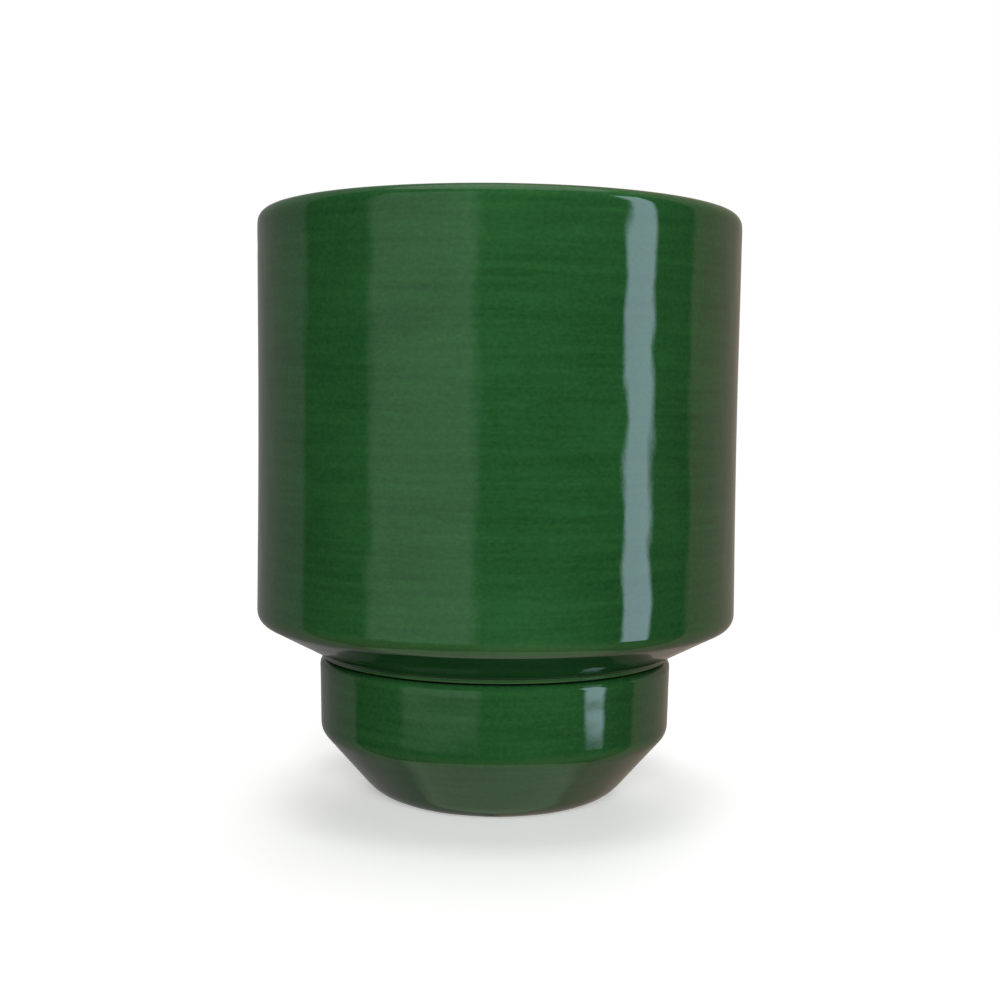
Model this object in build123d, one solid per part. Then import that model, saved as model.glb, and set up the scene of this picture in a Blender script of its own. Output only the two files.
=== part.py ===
from build123d import *
import os

# A glazed terracotta plant pot standing in its own deep saucer. Both are turned
# shapes about the Z axis, in millimetres. Z is up, and the origin is on the axis,
# in the plane of the saucer's foot ring. The pot's neck stands inside the saucer
# with a gap all round, its foot ring stands on the saucer's floor, and the seat
# under its bevel hangs just clear of the saucer's rim.

# Pot: outside
BODY_RADIUS = 125.0          # the wide body, at its lip and at its lower edge
WAIST_RADIUS = 124.2         # the body, halfway up
LIP_Z = 302.4                # top of the lip, and of the whole object
BODY_BOTTOM_Z = 93.4         # where the wall and the bevel under the body would meet
SEAT_RADIUS = 92.2           # short upright edge at the foot of the bevel
SEAT_TOP_Z = 76.2
SEAT_Z = 74.2                # flat underside of the seat, above the saucer's rim
NECK_RADIUS = 79.4           # upright neck, hidden inside the saucer

# Pot: wall, lip and foot
POT_WALL = 9.0
LIP_OUTER_ROUND = 6.3
LIP_INNER_ROUND = 2.6
FOOT_RADIUS = 52.0
FOOT_RING_WIDTH = 9.0
FOOT_RECESS = 3.0            # height of the hollow inside the foot ring
POT_FLOOR = 10.0             # thickness of the floor round the drain hole
FOOT_TAPER_TOP_Z = 39.0      # where the tapered foot meets the upright neck
DRAIN_RADIUS = 9.0
NOTCH_COUNT = 3              # ways out for water under the foot ring
NOTCH_WIDTH = 9.0            # at the notch's widest, near its foot
NOTCH_SHORTFALL = 0.5        # how far the notch's round top stops below the hollow's roof

# Saucer: outside
RIM_RADIUS = 92.4
RIM_Z = 73.0
RIM_ROUND = 3.9              # inside and outside, so that the rim is nearly half round
WAIST_RING_RADIUS = 91.6     # the ring, where its wall meets the lower taper
TAPER_TOP_Z = 35.3
BASE_RADIUS = 61.0           # where the taper and the base would meet
BASE_ROUND = 23.9
TAPER_ROUND = 9.0

# Saucer: wall, floor and foot ring
SAUCER_WALL = 8.0
SAUCER_FLOOR_Z = 10.0
BASE_RECESS = 2.5
BASE_RECESS_RADIUS = 39.0

# Roundings that both pieces share
SHARP_ROUND = 1.2
SOFT_ROUND = 3.0
EDGE_ROUND = 8.0
BEND_ROUND = 9.0
WAIST_ROUND = 6000.0         # the waist is one very long, shallow curve


def turned(corners):
    """Turn a closed outline about Z. Each corner is (radius, height, rounding)."""
    points = [(radius, 0, height) for radius, height, _ in corners]
    roundings = [rounding for _, _, rounding in corners]
    outline = FilletPolyline(*points, radius=roundings, close=True)
    return revolve(make_face(outline.edges()), Axis.Z)


def inset(start, end, distance):
    """Shift a sloping outer line square to itself, towards the axis."""
    run = end[0] - start[0]
    rise = end[1] - start[1]
    length = (run**2 + rise**2) ** 0.5
    across = -rise / length * distance
    up = run / length * distance
    return (start[0] + across, start[1] + up), rise / run


def pot():
    foot_z = SAUCER_FLOOR_Z
    recess_z = foot_z + FOOT_RECESS
    floor_z = recess_z + POT_FLOOR
    ring_inner = FOOT_RADIUS - FOOT_RING_WIDTH
    inner_neck = NECK_RADIUS - POT_WALL
    inner_body = BODY_RADIUS - POT_WALL

    taper_foot = (FOOT_RADIUS, foot_z)
    taper_neck = (NECK_RADIUS, FOOT_TAPER_TOP_Z)
    (taper_r, taper_z), slope = inset(taper_foot, taper_neck, POT_WALL)
    taper_floor = taper_r + (floor_z - taper_z) / slope
    taper_top_z = taper_z + (inner_neck - taper_r) * slope

    bevel_seat = (SEAT_RADIUS, SEAT_TOP_Z)
    bevel_body = (BODY_RADIUS, BODY_BOTTOM_Z)
    (bevel_r, bevel_z), rise = inset(bevel_seat, bevel_body, POT_WALL)
    bevel_low_z = bevel_z + (inner_neck - bevel_r) * rise
    bevel_high_z = bevel_z + (inner_body - bevel_r) * rise

    waist_z = (BODY_BOTTOM_Z + LIP_Z) / 2
    body = turned(
        [
            (DRAIN_RADIUS, recess_z, SHARP_ROUND),
            (ring_inner - SHARP_ROUND, recess_z, SHARP_ROUND),
            (ring_inner, foot_z, SHARP_ROUND),
            (FOOT_RADIUS, foot_z, SOFT_ROUND),
            (NECK_RADIUS, FOOT_TAPER_TOP_Z, EDGE_ROUND),
            (NECK_RADIUS, SEAT_Z, SOFT_ROUND),
            (SEAT_RADIUS, SEAT_Z, SHARP_ROUND),
            (SEAT_RADIUS, SEAT_TOP_Z, SHARP_ROUND),
            (BODY_RADIUS, BODY_BOTTOM_Z, EDGE_ROUND),
            (WAIST_RADIUS, waist_z, WAIST_ROUND),
            (BODY_RADIUS, LIP_Z, LIP_OUTER_ROUND),
            (inner_body, LIP_Z, LIP_INNER_ROUND),
            (inner_body, bevel_high_z, BEND_ROUND),
            (inner_neck, bevel_low_z, BEND_ROUND),
            (inner_neck, taper_top_z, BEND_ROUND),
            (taper_floor, floor_z, BEND_ROUND),
            (DRAIN_RADIUS, floor_z, SHARP_ROUND),
        ]
    )
    return body - foot_notches(ring_inner, foot_z)


def foot_notches(ring_inner, foot_z):
    """Round-topped channels through the foot ring, evenly spaced."""
    reach = FOOT_RING_WIDTH + 2 * SOFT_ROUND
    middle = ring_inner + FOOT_RING_WIDTH / 2
    channel = Rot(0, 90, 0) * Cylinder(NOTCH_WIDTH / 2, reach)
    drop = NOTCH_WIDTH / 2 - FOOT_RECESS + NOTCH_SHORTFALL
    return [
        Rot(0, 0, index * 360 / NOTCH_COUNT) * Pos(middle, 0, foot_z - drop) * channel
        for index in range(NOTCH_COUNT)
    ]


def saucer():
    taper_base = (BASE_RADIUS, 0)
    taper_ring = (WAIST_RING_RADIUS, TAPER_TOP_Z)
    (taper_r, taper_z), slope = inset(taper_base, taper_ring, SAUCER_WALL)
    inner_rim = RIM_RADIUS - SAUCER_WALL
    floor_radius = taper_r + (SAUCER_FLOOR_Z - taper_z) / slope
    taper_top_z = taper_z + (inner_rim - taper_r) * slope
    return turned(
        [
            (0, BASE_RECESS, 0),
            (BASE_RECESS_RADIUS, BASE_RECESS, SHARP_ROUND),
            (BASE_RECESS_RADIUS + SHARP_ROUND, 0, SHARP_ROUND),
            (BASE_RADIUS, 0, BASE_ROUND),
            (WAIST_RING_RADIUS, TAPER_TOP_Z, TAPER_ROUND),
            (RIM_RADIUS, RIM_Z, RIM_ROUND),
            (inner_rim, RIM_Z, RIM_ROUND),
            (inner_rim, taper_top_z, BEND_ROUND),
            (floor_radius, SAUCER_FLOOR_Z, BEND_ROUND),
            (0, SAUCER_FLOOR_Z, 0),
        ]
    )


PARTS = {"pot": pot, "saucer": saucer}

os.makedirs("parts", exist_ok=True)
for name, make in PARTS.items():
    export_step(make(), f"parts/{name}.step")
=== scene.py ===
from bisect import bisect_right
from math import atan2, ceil, cos, exp, pi, radians, sin, sqrt, tan

import bpy
from mathutils import Matrix, Vector, noise


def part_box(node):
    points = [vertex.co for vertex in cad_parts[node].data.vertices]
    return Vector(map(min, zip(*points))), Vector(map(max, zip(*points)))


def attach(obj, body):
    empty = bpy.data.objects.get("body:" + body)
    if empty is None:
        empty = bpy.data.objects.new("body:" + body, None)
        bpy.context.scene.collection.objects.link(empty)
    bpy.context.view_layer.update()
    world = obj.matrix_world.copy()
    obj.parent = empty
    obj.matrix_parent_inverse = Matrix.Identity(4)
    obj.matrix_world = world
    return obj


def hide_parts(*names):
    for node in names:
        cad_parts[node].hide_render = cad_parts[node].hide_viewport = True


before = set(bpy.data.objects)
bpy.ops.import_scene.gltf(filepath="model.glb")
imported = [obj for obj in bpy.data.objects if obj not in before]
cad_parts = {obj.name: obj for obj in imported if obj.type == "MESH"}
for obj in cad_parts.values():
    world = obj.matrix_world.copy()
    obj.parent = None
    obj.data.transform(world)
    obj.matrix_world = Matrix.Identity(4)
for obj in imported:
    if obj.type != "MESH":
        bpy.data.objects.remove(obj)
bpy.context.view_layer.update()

MM = 0.001

# ---------------------------------------------------------------- sizes, in millimetres
# The heights come from the frame. The rest repeat the turned outlines of the two pieces.

FOOT_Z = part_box("pot")[0][2] / MM
LIP_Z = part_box("pot")[1][2] / MM
RIM_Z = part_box("saucer")[1][2] / MM

BODY_RADIUS = 125.0
WAIST_RADIUS = 124.2
WAIST_ROUND = 6000.0
BODY_BOTTOM_Z = 93.4
SEAT_RADIUS = 92.2
SEAT_TOP_Z = 76.2
SEAT_Z = 74.2
NECK_RADIUS = 79.4
POT_WALL = 9.0
LIP_OUTER_ROUND = 6.3
LIP_BAND = 8.4  # height of the soft shoulder under the lip
LIP_LEAN = 0.4  # how far the lip leans in above it
LIP_SHOULDER_ROUND = 20.0
LIP_INNER_ROUND = 2.6
FOOT_RADIUS = 52.0
FOOT_RING_INNER = 43.0
FOOT_RECESS_Z = FOOT_Z + 3.0
FOOT_TAPER_TOP_Z = 39.0
INNER_TAPER_TOP_Z = 42.6
POT_FLOOR_Z = FOOT_Z + 13.0
POT_FLOOR_RADIUS = 51.9
INNER_BEVEL_LOW_Z = 74.9
INNER_BEVEL_HIGH_Z = 98.8
DRAIN_RADIUS = 9.0
NOTCH_COUNT = 3
NOTCH_WIDTH = 9.0

RIM_RADIUS = 92.4
RIM_ROUND = 3.9
SAUCER_WAIST = 91.6
TAPER_TOP_Z = 35.3
TAPER_ROUND = 9.0
BASE_RADIUS = 61.0
BASE_ROUND = 23.9
SAUCER_WALL = 8.0
SAUCER_INNER_TAPER_Z = 39.2
SAUCER_FLOOR_RADIUS = 59.1
BASE_RECESS = 2.5
BASE_RECESS_RADIUS = 39.0

# Roundings used in more than one place
SHARP = 1.2
SOFT = 3.0
EDGE = 8.0
BEND = 9.0

# Where the glaze stops, how thick it is, and how far its edge wanders.
GLAZE_THICKNESS = 0.35
GLAZE_WANDER = 1.6
GLAZE_OVERLAP = 4.0
INNER_GLAZE_DEPTH = 24.0
FOOT_GLAZE_HEIGHT = 4.5
BASE_GLAZE_OFFSET = 11.0  # from the edge of the recess under the saucer

# Faint hollows round the glaze: (distance along the outline before the lip or rim, width, depth)
POT_DIPS = ((22.0, 3.2, 0.10), (33.0, 4.0, 0.03))
SAUCER_DIPS = ((16.0, 2.6, 0.05),)

# How far the hand-finished walls wander, and the turning marks on bare clay
UNEVEN_BROAD = 0.26
UNEVEN_FINE = 0.05
THROWING_PITCH = 8.5
THROWING_DEPTH = 0.14
RECESS_MARK_DEPTH = 0.08

# How dense the meshes are: segments round the axis, and steps along an outline
POT_SEGMENTS = 320
SAUCER_SEGMENTS = 288
FINE = 2.2
COARSE = 4.5

# How much of its bend a surface that faces up shows: the glaze settles there and stays thick, and
# the pale edge tone, which is partly a painted edge sheen, stays mostly on edges that face down
UPWARD_BEND = 0.1

# ---------------------------------------------------------------- outlines


def rounded(before, corner, after, radius):
    """The points of an arc that rounds a corner of an outline."""
    start = (before - corner).normalized()
    end = (after - corner).normalized()
    half = start.angle(end) / 2
    centre = corner + (start + end).normalized() * radius / sin(half)
    first = corner + start * radius / tan(half) - centre
    last = corner + end * radius / tan(half) - centre
    a = atan2(first.y, first.x)
    sweep = (atan2(last.y, last.x) - a + pi) % (2 * pi) - pi
    steps = max(3, ceil(abs(sweep) / radians(11)))
    return [
        centre + radius * Vector((cos(a + sweep * i / steps), sin(a + sweep * i / steps)))
        for i in range(steps + 1)
    ]


def outline(corners, closed):
    """Points round a turned outline. A corner is (radius, height, rounding, step after it)."""
    runs = []
    for i, (radius, height, rounding, step) in enumerate(corners):
        spot = Vector((radius, height))
        if rounding:
            before = Vector(corners[i - 1][:2])
            after = Vector(corners[(i + 1) % len(corners)][:2])
            runs.append((rounded(before, spot, after, rounding), step))
        else:
            runs.append(([spot], step))
    if closed:
        runs.append(([runs[0][0][0]], COARSE))
    points = list(runs[0][0])
    for (run, step), (following, _) in zip(runs, runs[1:]):
        gap = following[0] - run[-1]
        parts = max(1, ceil(gap.length / step))
        points += [run[-1] + gap * k / parts for k in range(1, parts)]
        points += following
    return [a for a, b in zip(points, points[1:]) if (b - a).length > 0.001] + [points[-1]]


class Path:
    """An outline that can be asked for its point, its normal and its bend at a length along it.

    A closed outline is followed for two laps, so that a span may cross its first point.
    """

    def __init__(self, corners, closed):
        self.points = outline(corners, closed)
        self.lengths = [0.0]
        for a, b in zip(self.points, self.points[1:]):
            self.lengths.append(self.lengths[-1] + (b - a).length)
        self.lap = self.lengths[-1]
        if closed:
            self.points += self.points[1:]
            self.lengths += [self.lap + length for length in self.lengths[1:]]

    def at(self, length):
        length = min(max(length, 0.0), self.lengths[-1])
        i = min(bisect_right(self.lengths, length), len(self.lengths) - 1)
        span = self.lengths[i] - self.lengths[i - 1]
        return self.points[i - 1].lerp(self.points[i], (length - self.lengths[i - 1]) / span)

    def heading(self, length, reach):
        return (self.at(length + reach) - self.at(length - reach)).normalized()

    def normal(self, length):
        heading = self.heading(length, 0.3)
        return Vector((heading.y, -heading.x))

    def bend(self, length):
        """How strongly the outline turns here: up to 1 on a rounded edge, -1 in a hollow."""
        before = self.heading(length - 2.0, 1.0)
        after = self.heading(length + 2.0, 1.0)
        turn = before.x * after.y - before.y * after.x
        return max(-1.0, min(1.0, 1.6 * turn))

    def find(self, test):
        """The length at which the test on a point first holds."""
        return next(l for p, l in zip(self.points, self.lengths) if test(p))

    def stations(self, start, end):
        """Lengths from start to end at the outline's own points, closer together at the ends."""
        inner = [length for length in self.lengths if start + 1.5 < length < end - 1.5]
        close = (0.0, 0.1, 0.25, 0.5, 0.9)
        return [start + d for d in close] + inner + [end - d for d in reversed(close)]


# ---------------------------------------------------------------- turning an outline


def unevenness(radius, height, angle):
    """How far a hand-finished wall lies inside the true circle, in mm, never less than 0."""
    share = min(1.0, radius / 20)
    across = radius * cos(angle)
    deep = radius * sin(angle)
    broad = noise.noise(Vector((across / 60, deep / 60, height / 95)))
    middle = noise.noise(Vector((across / 17, deep / 17, height / 30 + 7.0)))
    return share * (UNEVEN_BROAD * (0.5 - broad / 2) + UNEVEN_FINE * (0.5 - middle / 2))


def make_strip(name, path, span, shift, body, segments):
    """A smooth mesh that turns a span of an outline about Z.

    shift(length, angle) gives how far a point slides along, moves in, and is lifted.
    """
    stations = path.stations(*span)
    verts = []
    rows = []
    bends = []
    for length in stations:
        # The bend drives the pale thin-glaze tone, which is partly a painted edge sheen, and the
        # dark pooled tone
        facing_up = path.normal(length).y > 0
        bend = path.bend(length) * (UPWARD_BEND if facing_up else 1.0)
        if path.at(length).x < 0.01:
            rows.append([len(verts)] * segments)
            verts.append((0.0, 0.0, path.at(length).y * MM))
            bends.append(0.0)
            continue
        rows.append(range(len(verts), len(verts) + segments))
        for s in range(segments):
            angle = 2 * pi * s / segments
            slide, inset, lift = shift(length, angle)
            spot = path.at(length + slide) - path.normal(length + slide) * inset
            radius = spot.x - unevenness(spot.x, spot.y, angle)
            height = spot.y + lift
            verts.append((radius * cos(angle) * MM, radius * sin(angle) * MM, height * MM))
            bends.append(bend)
    faces = []
    for low, high in zip(rows, rows[1:]):
        for s in range(segments):
            t = (s + 1) % segments
            faces.append(list(dict.fromkeys((low[s], low[t], high[t], high[s]))))
    mesh = bpy.data.meshes.new(name)
    mesh.from_pydata(verts, [], faces)
    mesh.attributes.new("bend", "FLOAT", "POINT").data.foreach_set("value", bends)
    mesh.update()
    mesh.shade_smooth()
    piece = bpy.data.objects.new(name, mesh)
    bpy.context.scene.collection.objects.link(piece)
    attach(piece, body)
    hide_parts(body)
    return piece


def wander(angle, seed):
    """The uneven line at which the glaze was wiped off, in mm along the outline."""
    place = Vector((2.4 * cos(angle), 2.4 * sin(angle), seed))
    return GLAZE_WANDER * (noise.noise(place) + 0.5 * noise.noise(place * 3))


def near(length, edge, reach):
    """1 at an edge, falling smoothly to 0 at a distance from it."""
    t = max(0.0, 1.0 - abs(length - edge) / reach)
    return t * t * (3 - 2 * t)


def make_glaze(name, path, span, edges, dips, body, segments):
    """The glaze: a skin over a span of the outline, with a rounded edge where it stops."""

    def shift(length, angle):
        slide = 0.0
        inset = 0.0
        for seed, edge in enumerate(edges):
            away = abs(length - edge)
            slide += wander(angle, 11.0 * seed) * near(length, edge, 18.0)
            if away < GLAZE_THICKNESS:
                lean = 1 - away / GLAZE_THICKNESS
                inset += GLAZE_THICKNESS * (1 - sqrt(1 - lean * lean)) + 0.05 * lean
        for centre, width, depth in dips:
            swing = 0.7 + 0.6 * noise.noise(Vector((2 * cos(angle), 2 * sin(angle), centre)))
            inset += depth * swing * exp(-(((length - centre) / width) ** 2))
        return slide, inset, 0.0

    return make_strip(name, path, span, shift, body, segments)


def make_clay(name, path, span, edges, relief, body, segments):
    """Bare clay. It starts under the glaze's edges, a glaze's thickness lower."""

    def shift(length, angle):
        slide = 0.0
        inset, lift = relief(path.at(length), angle)
        for seed, edge in enumerate(edges):
            slide += wander(angle, 11.0 * seed) * near(length, edge, 18.0)
            inset += GLAZE_THICKNESS * near(length, edge, 14.0)
        return slide, inset, lift

    return make_strip(name, path, span, shift, body, segments)


# ---------------------------------------------------------------- the pot


def pot_corners():
    inner_neck = NECK_RADIUS - POT_WALL
    inner_body = BODY_RADIUS - POT_WALL
    return [
        (FOOT_RING_INNER, FOOT_Z, SHARP, 1.5),
        (FOOT_RADIUS, FOOT_Z, SOFT, 3.0),
        (NECK_RADIUS, FOOT_TAPER_TOP_Z, EDGE, 3.0),
        (NECK_RADIUS, SEAT_Z, SOFT, 3.0),
        (SEAT_RADIUS, SEAT_Z, SHARP, FINE),
        (SEAT_RADIUS, SEAT_TOP_Z, SHARP, FINE),
        (BODY_RADIUS, BODY_BOTTOM_Z, EDGE, FINE),
        (WAIST_RADIUS, (BODY_BOTTOM_Z + LIP_Z) / 2, WAIST_ROUND, FINE),
        (BODY_RADIUS, LIP_Z - LIP_BAND, LIP_SHOULDER_ROUND, FINE),
        (BODY_RADIUS - LIP_LEAN, LIP_Z, LIP_OUTER_ROUND, FINE),
        (inner_body, LIP_Z, LIP_INNER_ROUND, 3.0),
        (inner_body, INNER_BEVEL_HIGH_Z, BEND, COARSE),
        (inner_neck, INNER_BEVEL_LOW_Z, BEND, COARSE),
        (inner_neck, INNER_TAPER_TOP_Z, BEND, COARSE),
        (POT_FLOOR_RADIUS, POT_FLOOR_Z, BEND, COARSE),
        (DRAIN_RADIUS, POT_FLOOR_Z, SHARP, 1.5),
        (DRAIN_RADIUS, FOOT_RECESS_Z, SHARP, COARSE),
        (FOOT_RING_INNER - SHARP, FOOT_RECESS_Z, SHARP, 1.5),
    ]


def pot_relief(point, angle):
    """The shallow spiral left by the potter's fingers inside, and the notches in the foot."""
    if point.y > FOOT_RECESS_Z:
        along = point.y if point.y > INNER_TAPER_TOP_Z else point.x
        depth = THROWING_DEPTH if point.x > DRAIN_RADIUS + SHARP else 0.0
        return depth * (1 + sin(2 * pi * along / THROWING_PITCH + angle)), 0.0
    if point.x < FOOT_RING_INNER - 2 * SHARP:
        return 0.0, 0.0
    pitch = 2 * pi / NOTCH_COUNT
    away = abs((angle + pitch / 2) % pitch - pitch / 2) * point.x
    cut = min(1.0, max(0.0, NOTCH_WIDTH / 2 + 0.5 - away))
    return 0.0, (FOOT_RECESS_Z - point.y) * cut


def make_pot():
    path = Path(pot_corners(), True)
    foot_line = path.find(lambda p: p.y > FOOT_Z + FOOT_GLAZE_HEIGHT)
    lip = path.find(lambda p: p.y > LIP_Z - 0.01)
    inner_line = lip + INNER_GLAZE_DEPTH
    dips = [(lip - before, width, depth) for before, width, depth in POT_DIPS]
    glaze = make_glaze(
        "pot_glaze", path, (foot_line, inner_line), (foot_line, inner_line), dips,
        "pot", POT_SEGMENTS,
    )
    clay_span = (inner_line - GLAZE_OVERLAP, path.lap + foot_line + GLAZE_OVERLAP)
    clay = make_clay(
        "pot_clay", path, clay_span, (inner_line, path.lap + foot_line), pot_relief,
        "pot", POT_SEGMENTS,
    )
    return glaze, clay


# ---------------------------------------------------------------- the saucer


def saucer_corners():
    inner_rim = RIM_RADIUS - SAUCER_WALL
    return [
        (0.0, BASE_RECESS, 0.0, COARSE),
        (BASE_RECESS_RADIUS, BASE_RECESS, SHARP, 1.5),
        (BASE_RECESS_RADIUS + SHARP, 0.0, SHARP, 1.5),
        (BASE_RADIUS, 0.0, BASE_ROUND, FINE),
        (SAUCER_WAIST, TAPER_TOP_Z, TAPER_ROUND, FINE),
        (RIM_RADIUS, RIM_Z, RIM_ROUND, FINE),
        (inner_rim, RIM_Z, RIM_ROUND, 3.0),
        (inner_rim, SAUCER_INNER_TAPER_Z, BEND, COARSE),
        (SAUCER_FLOOR_RADIUS, FOOT_Z, BEND, COARSE),
        (0.0, FOOT_Z, 0.0, COARSE),
    ]


def saucer_relief(point, angle):
    """Faint turning marks in the recess under the saucer."""
    if point.y < BASE_RECESS / 2 or point.x < SHARP:
        return 0.0, 0.0
    return RECESS_MARK_DEPTH * (1 + sin(2 * pi * point.x / THROWING_PITCH + angle)), 0.0


def make_saucer():
    path = Path(saucer_corners(), False)
    base_line = path.find(lambda p: p.x > BASE_RECESS_RADIUS + BASE_GLAZE_OFFSET)
    rim = path.find(lambda p: p.y > RIM_Z - 0.01)
    dips = [(rim - before, width, depth) for before, width, depth in SAUCER_DIPS]
    glaze = make_glaze(
        "saucer_glaze", path, (base_line, path.lap), (base_line,), dips,
        "saucer", SAUCER_SEGMENTS,
    )
    clay = make_clay(
        "saucer_clay", path, (0.0, base_line + GLAZE_OVERLAP), (base_line,), saucer_relief,
        "saucer", SAUCER_SEGMENTS,
    )
    return glaze, clay


# ---------------------------------------------------------------- shader nodes


def node(tree, kind, inputs, **settings):
    """A node with its settings made, and each input linked from a socket or set to a value."""
    made = tree.nodes.new(kind)
    for key, value in settings.items():
        setattr(made, key, value)
    for key, value in inputs.items():
        if isinstance(value, bpy.types.NodeSocket):
            tree.links.new(value, made.inputs[key])
        else:
            made.inputs[key].default_value = value
    return made


def calc(tree, operation, first, second=0.0):
    return node(tree, "ShaderNodeMath", {0: first, 1: second}, operation=operation).outputs[0]


def total(tree, *terms):
    """The sum of (socket, weight) terms."""
    result = 0.0
    for socket, weight in terms:
        result = calc(tree, "ADD", calc(tree, "MULTIPLY", socket, weight), result)
    return result


def blend(tree, factor, first, second):
    """The first colour at 0, the second at 1."""
    inputs = {0: factor, 6: first, 7: second}
    return node(tree, "ShaderNodeMix", inputs, data_type="RGBA").outputs[2]


def ramp(tree, value, low, high, start=0.0, end=1.0):
    """A smooth change from start to end as a value goes from low to high."""
    inputs = {"Value": value, "From Min": low, "From Max": high, "To Min": start, "To Max": end}
    kind = "SMOOTHSTEP"
    return node(tree, "ShaderNodeMapRange", inputs, interpolation_type=kind).outputs["Result"]


def grain(tree, place, size, stretch=(1, 1, 1), detail=2.0):
    """Noise about 0, with features of a size in mm, stretched along the axes."""
    scale = [0.5 / (size * s) for s in stretch]
    spread = node(tree, "ShaderNodeMapping", {"Vector": place, "Scale": scale}).outputs[0]
    inputs = {"Vector": spread, "Scale": 1.0, "Detail": detail}
    cloud = node(tree, "ShaderNodeTexNoise", inputs).outputs["Fac"]
    return calc(tree, "SUBTRACT", cloud, 0.5)


def millimetres(tree):
    """The place on the object, in mm."""
    coordinates = tree.nodes.new("ShaderNodeTexCoord").outputs["Object"]
    scale = (1 / MM, 1 / MM, 1 / MM)
    return node(tree, "ShaderNodeMapping", {"Vector": coordinates, "Scale": scale}).outputs[0]


def bump(tree, height):
    """A bump from a height in mm."""
    inputs = {"Height": height, "Strength": 1.0, "Distance": MM}
    return node(tree, "ShaderNodeBump", inputs).outputs["Normal"]


def new_material(name):
    material = bpy.data.materials.new(name)
    material.use_nodes = True
    return material, material.node_tree, material.node_tree.nodes["Principled BSDF"]


# ---------------------------------------------------------------- materials

GLAZE_DEEP = (0.0110, 0.0680, 0.0170, 1)
GLAZE_LIGHT = (0.0290, 0.1330, 0.0350, 1)
# Pale tone of thin glaze over edges, also a painted edge sheen on edges that face down
GLAZE_THIN_AND_EDGE_SHEEN = (0.0900, 0.1650, 0.0600, 1)
GLAZE_POOLED = (0.0030, 0.0260, 0.0090, 1)
CLAY = (0.4700, 0.1750, 0.0820, 1)
CLAY_PALE = (0.6000, 0.2900, 0.1700, 1)
CLAY_DARK = (0.2600, 0.0850, 0.0400, 1)
PAPER_DULL = (0.88, 0.88, 0.87, 1)
PAPER_BRIGHT = (0.93, 0.93, 0.92, 1)
PAPER_GLOW = 0.4


def glaze_material():
    """Thick glossy green glaze: thin and pale over edges, with that paleness also a painted edge
    sheen on edges that face down, and pooled and dark in hollows.
    """
    material, tree, shader = new_material("green_glaze")
    place = millimetres(tree)
    bend = node(tree, "ShaderNodeAttribute", {}, attribute_name="bend").outputs["Fac"]
    clouds = grain(tree, place, 34, detail=3.0)
    streaks = grain(tree, place, 2.0, stretch=(12, 12, 0.8), detail=4.0)
    mottle = grain(tree, place, 0.8, stretch=(1.3, 1.3, 1), detail=2.0)
    tone = total(tree, (clouds, 0.9), (streaks, 1.0), (mottle, 0.9))
    green = blend(tree, calc(tree, "ADD", tone, 0.5), GLAZE_DEEP, GLAZE_LIGHT)
    patchy = total(tree, (bend, 1.0), (clouds, 0.5), (streaks, 0.4))
    # Paler over edges: thin glaze, and a painted edge sheen where the edge faces down
    green = blend(tree, ramp(tree, patchy, 0.2, 1.2, 0.0, 0.6), green, GLAZE_THIN_AND_EDGE_SHEEN)
    green = blend(tree, ramp(tree, patchy, -0.2, -0.9, 0.0, 0.8), green, GLAZE_POOLED)
    peel = grain(tree, place, 0.75, detail=1.0)
    waves = grain(tree, place, 8.0, stretch=(0.8, 0.8, 1.3), detail=0.0)
    ripples = grain(tree, place, 3.0, detail=0.0)
    height = total(tree, (peel, 0.005), (waves, 0.22), (ripples, 0.02))
    tree.links.new(green, shader.inputs["Base Color"])
    tree.links.new(bump(tree, height), shader.inputs["Normal"])
    shader.inputs["Roughness"].default_value = 0.03
    shader.inputs["IOR"].default_value = 1.55
    return material


def clay_material():
    """Dry fired terracotta, with turning marks, fine sand and paler dusty patches."""
    material, tree, shader = new_material("bare_clay")
    place = millimetres(tree)
    clouds = grain(tree, place, 22, detail=4.0)
    marks = grain(tree, place, 1.6, stretch=(12, 12, 1), detail=3.0)
    sand = grain(tree, place, 0.35, detail=2.0)
    specks = grain(tree, place, 0.9, detail=0.0)
    tone = total(tree, (clouds, 1.6), (marks, 0.7), (sand, 0.8))
    colour = blend(tree, ramp(tree, tone, -0.1, 0.7, 0.0, 0.6), CLAY, CLAY_PALE)
    colour = blend(tree, ramp(tree, tone, -0.1, -0.7, 0.0, 0.5), colour, CLAY_DARK)
    colour = blend(tree, ramp(tree, specks, 0.2, 0.26, 0.0, 0.5), colour, CLAY_DARK)
    rough = ramp(tree, tone, -0.6, 0.6, 0.72, 0.95)
    height = total(tree, (sand, 0.10), (marks, 0.12), (specks, 0.08))
    tree.links.new(colour, shader.inputs["Base Color"])
    tree.links.new(rough, shader.inputs["Roughness"])
    tree.links.new(bump(tree, height), shader.inputs["Normal"])
    return material


def floor_material():
    """Pale matt paper that fades out round its edge."""
    material, tree, shader = new_material("floor_paper")
    place = millimetres(tree)
    fibre = grain(tree, place, 6, detail=4.0)
    colour = blend(tree, calc(tree, "ADD", fibre, 0.5), PAPER_DULL, PAPER_BRIGHT)
    distance = node(tree, "ShaderNodeVectorMath", {0: place}, operation="LENGTH").outputs["Value"]
    clear = node(tree, "ShaderNodeBsdfTransparent", {}).outputs[0]
    fade = ramp(tree, distance, FLOOR_SOLID, FLOOR_RADIUS)
    shader.inputs["Roughness"].default_value = 0.8
    shader.inputs["Emission Color"].default_value = (1, 1, 1, 1)
    shader.inputs["Emission Strength"].default_value = PAPER_GLOW
    tree.links.new(colour, shader.inputs["Base Color"])
    mixed = node(tree, "ShaderNodeMixShader", {0: fade, 1: shader.outputs[0], 2: clear})
    tree.links.new(mixed.outputs[0], tree.nodes["Material Output"].inputs["Surface"])
    return material


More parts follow.
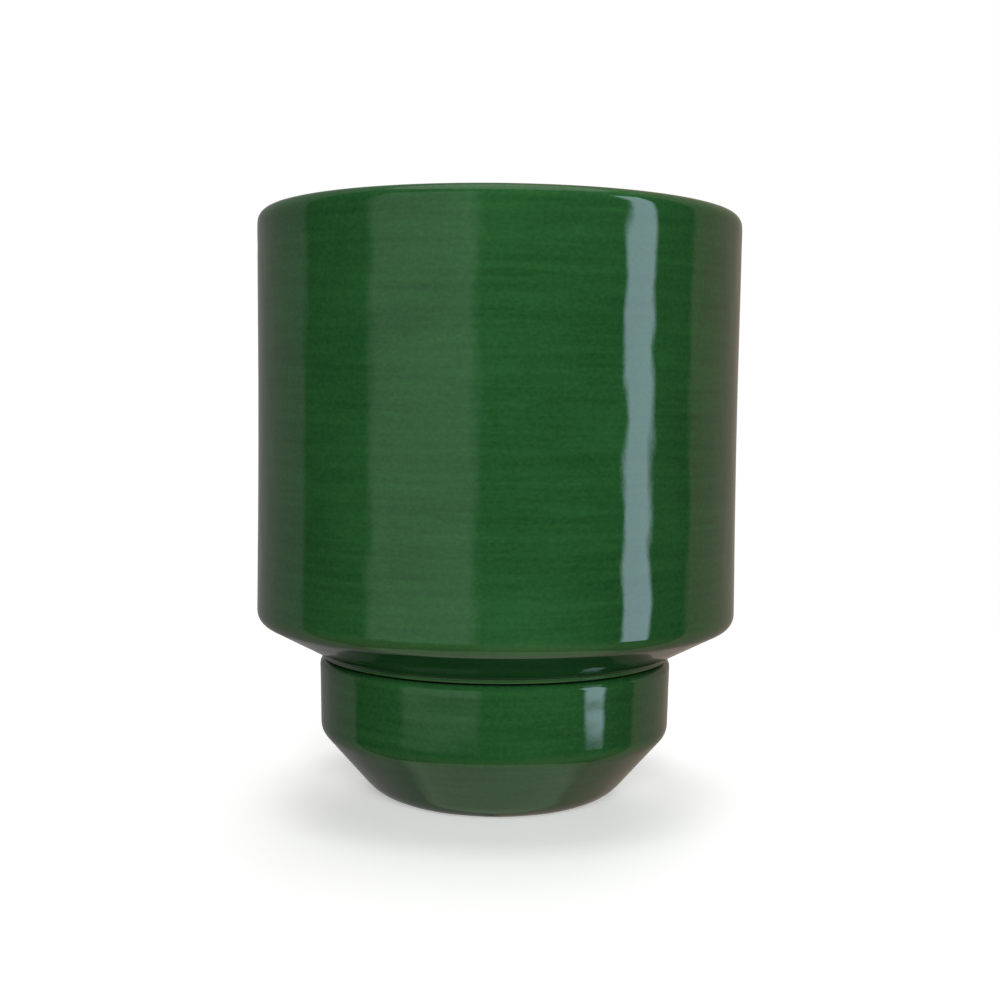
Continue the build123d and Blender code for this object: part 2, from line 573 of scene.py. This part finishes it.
# ---------------------------------------------------------------- the studio's reflections
# What the gloss reflects: a plain studio with a wall behind the object on each side, a broad
# soft panel at the front left and a tall softbox at the front right. Azimuth is in degrees from
# the front (-Y) towards +X, and elevation in degrees above the horizon. A panel is (from azimuth,
# to azimuth, from elevation, to elevation, edge softness, colour, brightness).

STONE = (0.25, 0.25, 0.235)
BROWN = (0.34, 0.29, 0.24)
PALE = (0.80, 1.00, 0.84)
DAYLIGHT = (0.70, 0.90, 1.10)

PANELS = [
    (-180, -100, -60, 60, 6, STONE, 1.0),
    (100, 180, -60, 60, 6, BROWN, 1.0),
    (-60, -10, -15, 40, 8, PALE, 0.6),
    (60, 75, -15, 40, 4, DAYLIGHT, 4.0),
]

# The rest of the studio, from straight below to straight above, and where one gives way to
# the next, in degrees above the horizon.
GROUND = (0.48, 0.56, 0.42, 1)
DIM = (0.02, 0.035, 0.015, 1)
CEILING = (0.05, 0.06, 0.05, 1)
SOFTBOX = (0.9, 0.9, 0.86, 1)
GROUND_EDGE = (-54, -57)
CEILING_EDGE = (20, 45)
SOFTBOX_EDGE = (58, 66)

AMBIENT = (0.03, 0.03, 0.03, 1)
BACKDROP = (1, 1, 1, 1)


def band(tree, value, low, high, soft):
    """1 where a value lies between two limits, with soft edges."""
    away = calc(tree, "ABSOLUTE", calc(tree, "SUBTRACT", value, (low + high) / 2))
    half = (high - low) / 2
    return ramp(tree, away, half + soft / 2, half - soft / 2)


def make_world():
    """A white backdrop for the camera, an even dim light, and the studio for the gloss."""
    world = bpy.data.worlds.new("studio")
    world.use_nodes = True
    tree = world.node_tree
    direction = tree.nodes.new("ShaderNodeTexCoord").outputs["Generated"]
    axes = node(tree, "ShaderNodeSeparateXYZ", {0: direction}).outputs
    turn = calc(tree, "ARCTAN2", axes["X"], calc(tree, "MULTIPLY", axes["Y"], -1.0))
    azimuth = calc(tree, "DEGREES", turn)
    elevation = calc(tree, "DEGREES", calc(tree, "ARCSINE", axes["Z"]))
    colour = blend(tree, ramp(tree, elevation, *CEILING_EDGE), DIM, CEILING)
    colour = blend(tree, ramp(tree, elevation, *SOFTBOX_EDGE), colour, SOFTBOX)
    colour = blend(tree, ramp(tree, elevation, *GROUND_EDGE), colour, GROUND)
    for left, right, low, high, soft, tint, strength in PANELS:
        across = band(tree, azimuth, left, right, soft)
        mask = calc(tree, "MULTIPLY", across, band(tree, elevation, low, high, soft))
        shown = tuple(strength * channel for channel in tint) + (1,)
        colour = blend(tree, mask, colour, shown)
    rays = tree.nodes.new("ShaderNodeLightPath").outputs
    colour = blend(tree, rays["Is Glossy Ray"], AMBIENT, colour)
    colour = blend(tree, rays["Is Camera Ray"], colour, BACKDROP)
    tree.links.new(colour, tree.nodes["Background"].inputs["Color"])
    bpy.context.scene.world = world


# (name, place in metres, width in metres, watts)
LIGHTS = (
    ("front_light", (0.1, -1.9, 0.7), 0.8, 31.0),
    ("top_light", (0.0, 0.0, 2.0), 1.4, 20.0),
    ("back_light", (0.3, 1.9, 0.8), 1.4, 24.0),
)


def make_light(name, spot, size, power):
    """A large soft light aimed at the middle of the object, which only lights matt colour."""
    data = bpy.data.lights.new(name, "AREA")
    data.size = size
    data.energy = power
    light = bpy.data.objects.new(name, data)
    light.location = spot
    aim = Vector((0, 0, LIP_Z * MM / 2)) - light.location
    light.rotation_euler = aim.to_track_quat("-Z", "Y").to_euler()
    light.visible_glossy = False
    light.visible_camera = False
    bpy.context.scene.collection.objects.link(light)


# ---------------------------------------------------------------- floor and camera

FLOOR_SOLID = 320.0
FLOOR_RADIUS = 800.0
FLOOR_CORNERS = 96
FLOOR_Z = -0.1  # just under the saucer's foot ring

# The camera: metres, radians, and millimetres for the lens
CAMERA_DISTANCE = 0.764
CAMERA_HEIGHT = 0.2051
CAMERA_PITCH = 0.0657
CAMERA_ROLL = 0.0114
CAMERA_YAW = 0.0022
LENS = 52.2
SENSOR = 36.0


def make_floor():
    reach = FLOOR_RADIUS * MM
    angles = [2 * pi * i / FLOOR_CORNERS for i in range(FLOOR_CORNERS)]
    verts = [(reach * cos(angle), reach * sin(angle), FLOOR_Z * MM) for angle in angles]
    mesh = bpy.data.meshes.new("floor")
    mesh.from_pydata(verts, [], [list(range(FLOOR_CORNERS))])
    mesh.materials.append(floor_material())
    floor = bpy.data.objects.new("floor", mesh)
    floor.visible_diffuse = False
    floor.visible_glossy = False
    bpy.context.scene.collection.objects.link(floor)


def make_camera():
    data = bpy.data.cameras.new("camera")
    data.lens = LENS
    data.sensor_width = SENSOR
    camera = bpy.data.objects.new("camera", data)
    camera.matrix_world = (
        Matrix.Translation((0, -CAMERA_DISTANCE, CAMERA_HEIGHT))
        @ Matrix.Rotation(-CAMERA_YAW, 4, "Z")
        @ Matrix.Rotation(pi / 2 - CAMERA_PITCH, 4, "X")
        @ Matrix.Rotation(CAMERA_ROLL, 4, "Z")
    )
    bpy.context.scene.collection.objects.link(camera)
    bpy.context.scene.camera = camera


# ---------------------------------------------------------------- the scene

bpy.context.scene.view_settings.view_transform = "Standard"
glaze = glaze_material()
clay = clay_material()
for skin, core in (make_pot(), make_saucer()):
    skin.data.materials.append(glaze)
    core.data.materials.append(clay)

make_floor()
make_world()
for light in LIGHTS:
    make_light(*light)
make_camera()
